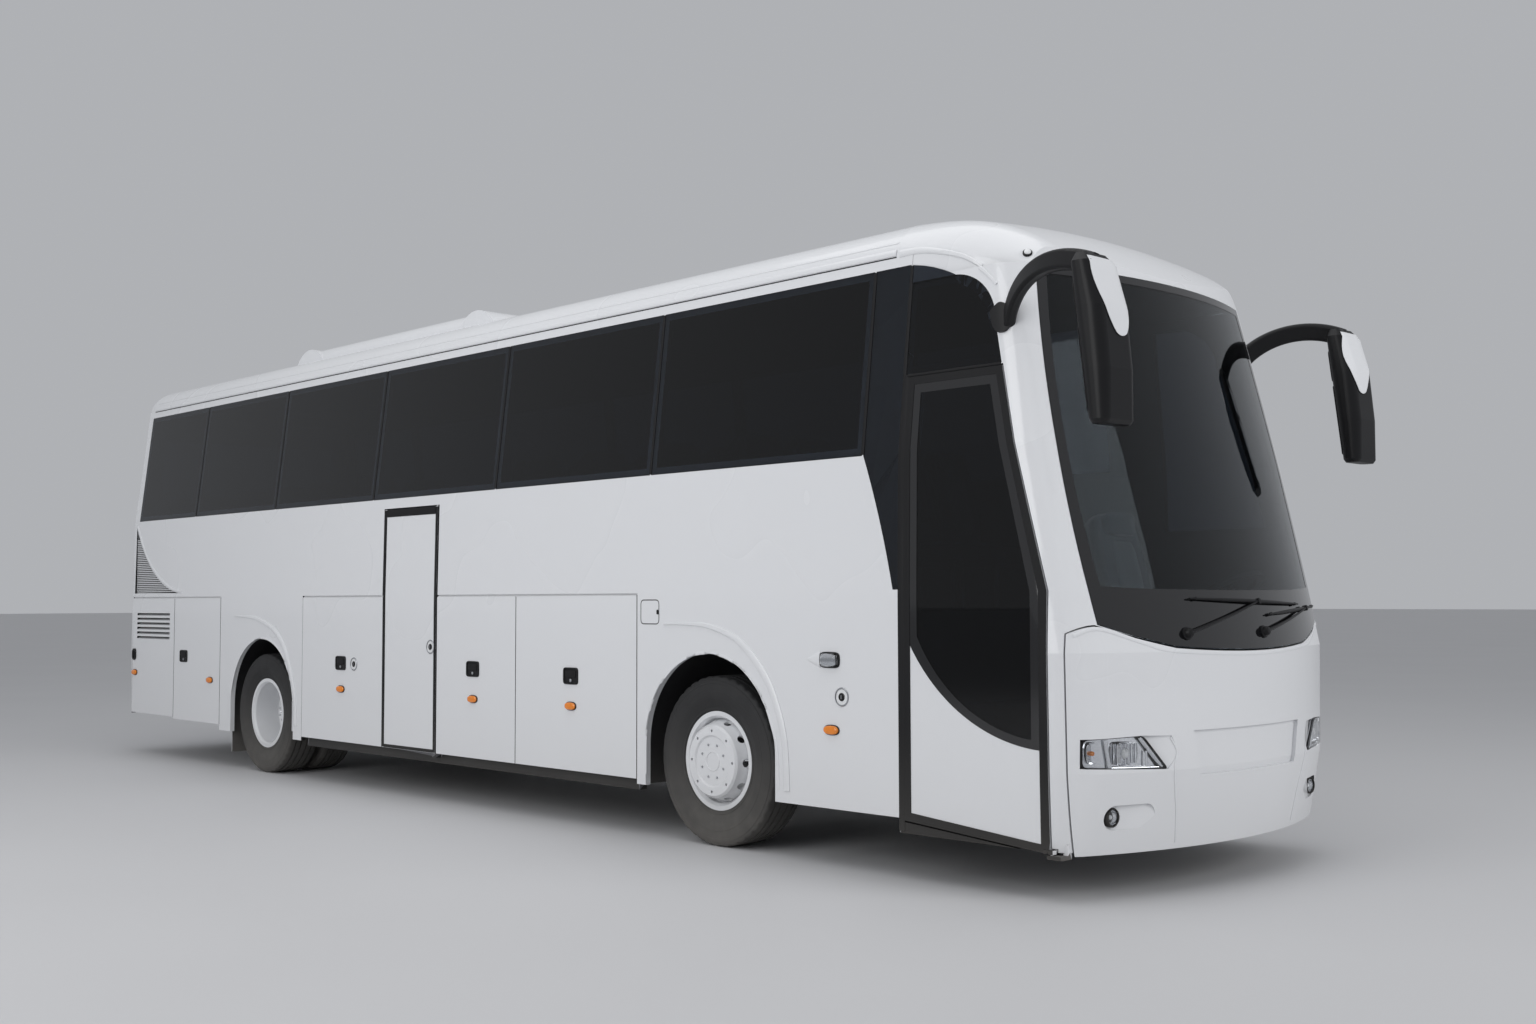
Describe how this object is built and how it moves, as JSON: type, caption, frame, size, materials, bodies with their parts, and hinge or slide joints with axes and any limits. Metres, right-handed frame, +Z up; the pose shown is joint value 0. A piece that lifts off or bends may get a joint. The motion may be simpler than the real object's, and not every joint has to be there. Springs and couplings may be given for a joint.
{
  "type": "coach bus",
  "caption": "Two-axle touring coach with a hollow cabin, hinged side doors, luggage flaps, an engine lid, steered front wheels and twin rear wheels.",
  "frame": {"origin": "on the ground, on the centre line, midway between the axles", "axes": "+X forward, +Y to the left, +Z up"},
  "size_m": [12.238, 3.24, 3.8012],
  "materials": {
    "cast_dark": "dark casting",
    "chassis_black": "black chassis paint",
    "dash_grey": "grained dashboard plastic",
    "floor_grey": "ribbed floor covering",
    "glass_dark": "dark tinted glass",
    "glass_screen": "tinted windscreen glass",
    "hold_lining": "grey hold lining",
    "lamp_clear": "clear lamp with bright inside",
    "lamp_red": "red lamp lens",
    "paint_white": "white gloss paint",
    "seat_fabric": "dark seat cloth",
    "trim_black": "black moulded plastic",
    "tyre_rubber": "tyre rubber",
    "wheel_white": "white wheel paint"
  },
  "bodies": {
    "coach": {"cab_glass": "glass_dark", "cabin_floor": "floor_grey", "chassis_frame": "chassis_black", "dashboard": "dash_grey", "driver_seat": "seat_fabric", "engine": "cast_dark", "front_axle": "cast_dark", "front_cap": "paint_white", "front_frame": "paint_white", "front_lamps": "lamp_clear", "front_mask": "paint_white", "hold_box": "hold_lining", "mirrors": "trim_black", "passenger_seats": "seat_fabric", "rear_axle": "cast_dark", "rear_glass": "glass_dark", "rear_lamps": "lamp_red", "rear_wall": "paint_white", "roof": "paint_white", "roof_unit": "paint_white", "side_glass_left": "glass_dark", "side_glass_right": "glass_dark", "side_wall_left": "paint_white", "side_wall_right": "paint_white", "skirt_left": "paint_white", "skirt_right": "paint_white", "windscreen": "glass_screen", "wipers": "trim_black"},
    "knuckle_right": {"knuckle_right": "cast_dark"},
    "knuckle_left": {"knuckle_left": "cast_dark"},
    "tie_rod": {"tie_rod": "cast_dark"},
    "steering_wheel": {"steering_wheel": "dash_grey"},
    "front_door": {"front_door": "paint_white", "front_door_glass": "glass_dark"},
    "mid_door": {"mid_door": "paint_white"},
    "engine_lid": {"engine_lid": "paint_white"},
    "wheel_front_right": {"wheel_front_right": "wheel_white", "tyre_front_right": "tyre_rubber"},
    "wheel_front_left": {"wheel_front_left": "wheel_white", "tyre_front_left": "tyre_rubber"},
    "wheel_rear_right": {"wheel_rear_right": "wheel_white", "tyre_rear_right": "tyre_rubber"},
    "wheel_rear_left": {"wheel_rear_left": "wheel_white", "tyre_rear_left": "tyre_rubber"},
    "engine_flap_left": {"engine_flap_left": "paint_white"},
    "engine_flap_right": {"engine_flap_right": "paint_white"},
    "hold_flap_left_1": {"hold_flap_left_1": "paint_white"},
    "hold_flap_left_2": {"hold_flap_left_2": "paint_white"},
    "hold_flap_left_3": {"hold_flap_left_3": "paint_white"},
    "hold_flap_right_1": {"hold_flap_right_1": "paint_white"},
    "hold_flap_right_2": {"hold_flap_right_2": "paint_white"},
    "hold_flap_right_3": {"hold_flap_right_3": "paint_white"},
    "radiator_flap_left": {"radiator_flap_left": "paint_white"},
    "radiator_flap_right": {"radiator_flap_right": "paint_white"}
  },
  "joints": [
    {"name": "steer_right", "type": "hinge", "parent": "coach", "child": "knuckle_right", "pos_m": [3, -0.936, 0.522], "axis": [0, 0, 1], "range_deg": [-45, 45]},
    {"name": "steer_left", "type": "hinge", "parent": "coach", "child": "knuckle_left", "pos_m": [3, 0.936, 0.522], "axis": [0, 0, 1], "range_deg": [-45, 45]},
    {"name": "tie_rod_pivot", "type": "hinge", "parent": "knuckle_right", "child": "tie_rod", "pos_m": [2.82, -0.936, 0.402], "axis": [0, 0, 1], "range_deg": [-45, 45]},
    {"name": "steering_wheel_turn", "type": "hinge", "parent": "coach", "child": "steering_wheel", "pos_m": [5.445, 0.62, 1.51775], "axis": [-0.5, 0, 0.866], "range_deg": [-810, 810]},
    {"name": "roll_front_right", "type": "hinge", "parent": "knuckle_right", "child": "wheel_front_right", "pos_m": [3, -1.086, 0.522], "axis": [0, 1, 0], "continuous": true},
    {"name": "roll_front_left", "type": "hinge", "parent": "knuckle_left", "child": "wheel_front_left", "pos_m": [3, 1.086, 0.522], "axis": [0, 1, 0], "continuous": true},
    {"name": "roll_rear_right", "type": "hinge", "parent": "coach", "child": "wheel_rear_right", "pos_m": [-3, -1.086, 0.522], "axis": [0, 1, 0], "continuous": true},
    {"name": "roll_rear_left", "type": "hinge", "parent": "coach", "child": "wheel_rear_left", "pos_m": [-3, 1.086, 0.522], "axis": [0, 1, 0], "continuous": true},
    {"name": "front_door_swing", "type": "hinge", "parent": "coach", "child": "front_door", "pos_m": [5.556, -1.262, 0.243], "axis": [0, 0, 1], "range_deg": [0, 90]},
    {"name": "mid_door_swing", "type": "hinge", "parent": "coach", "child": "mid_door", "pos_m": [-0.138, -1.257, 0.362], "axis": [0, 0, 1], "range_deg": [0, 90]},
    {"name": "engine_lid_lift", "type": "hinge", "parent": "coach", "child": "engine_lid", "pos_m": [-6.075, 0, 1.484], "axis": [0, 1, 0], "range_deg": [0, 85]},
    {"name": "engine_flap_left_lift", "type": "hinge", "parent": "coach", "child": "engine_flap_left", "pos_m": [0, 1.267, 1.5405], "axis": [1, 0, 0], "range_deg": [0, 85]},
    {"name": "engine_flap_right_lift", "type": "hinge", "parent": "coach", "child": "engine_flap_right", "pos_m": [0, -1.267, 1.5405], "axis": [-1, 0, 0], "range_deg": [0, 85]},
    {"name": "hold_flap_left_1_lift", "type": "hinge", "parent": "coach", "child": "hold_flap_left_1", "pos_m": [0, 1.267, 1.5405], "axis": [1, 0, 0], "range_deg": [0, 85]},
    {"name": "hold_flap_left_2_lift", "type": "hinge", "parent": "coach", "child": "hold_flap_left_2", "pos_m": [0, 1.267, 1.5405], "axis": [1, 0, 0], "range_deg": [0, 85]},
    {"name": "hold_flap_left_3_lift", "type": "hinge", "parent": "coach", "child": "hold_flap_left_3", "pos_m": [0, 1.267, 1.5405], "axis": [1, 0, 0], "range_deg": [0, 85]},
    {"name": "hold_flap_right_1_lift", "type": "hinge", "parent": "coach", "child": "hold_flap_right_1", "pos_m": [0, -1.267, 1.5405], "axis": [-1, 0, 0], "range_deg": [0, 85]},
    {"name": "hold_flap_right_2_lift", "type": "hinge", "parent": "coach", "child": "hold_flap_right_2", "pos_m": [0, -1.267, 1.5405], "axis": [-1, 0, 0], "range_deg": [0, 85]},
    {"name": "hold_flap_right_3_lift", "type": "hinge", "parent": "coach", "child": "hold_flap_right_3", "pos_m": [0, -1.267, 1.5405], "axis": [-1, 0, 0], "range_deg": [0, 85]},
    {"name": "radiator_flap_left_lift", "type": "hinge", "parent": "coach", "child": "radiator_flap_left", "pos_m": [0, 1.267, 1.5405], "axis": [1, 0, 0], "range_deg": [0, 85]},
    {"name": "radiator_flap_right_lift", "type": "hinge", "parent": "coach", "child": "radiator_flap_right", "pos_m": [0, -1.267, 1.5405], "axis": [-1, 0, 0], "range_deg": [0, 85]}
  ],
  "couplings": [
    {"joint": "steer_left", "follows": "steer_right", "ratio": 1},
    {"joint": "tie_rod_pivot", "follows": "steer_right", "ratio": -1},
    {"joint": "steering_wheel_turn", "follows": "steer_right", "ratio": 18}
  ]
}
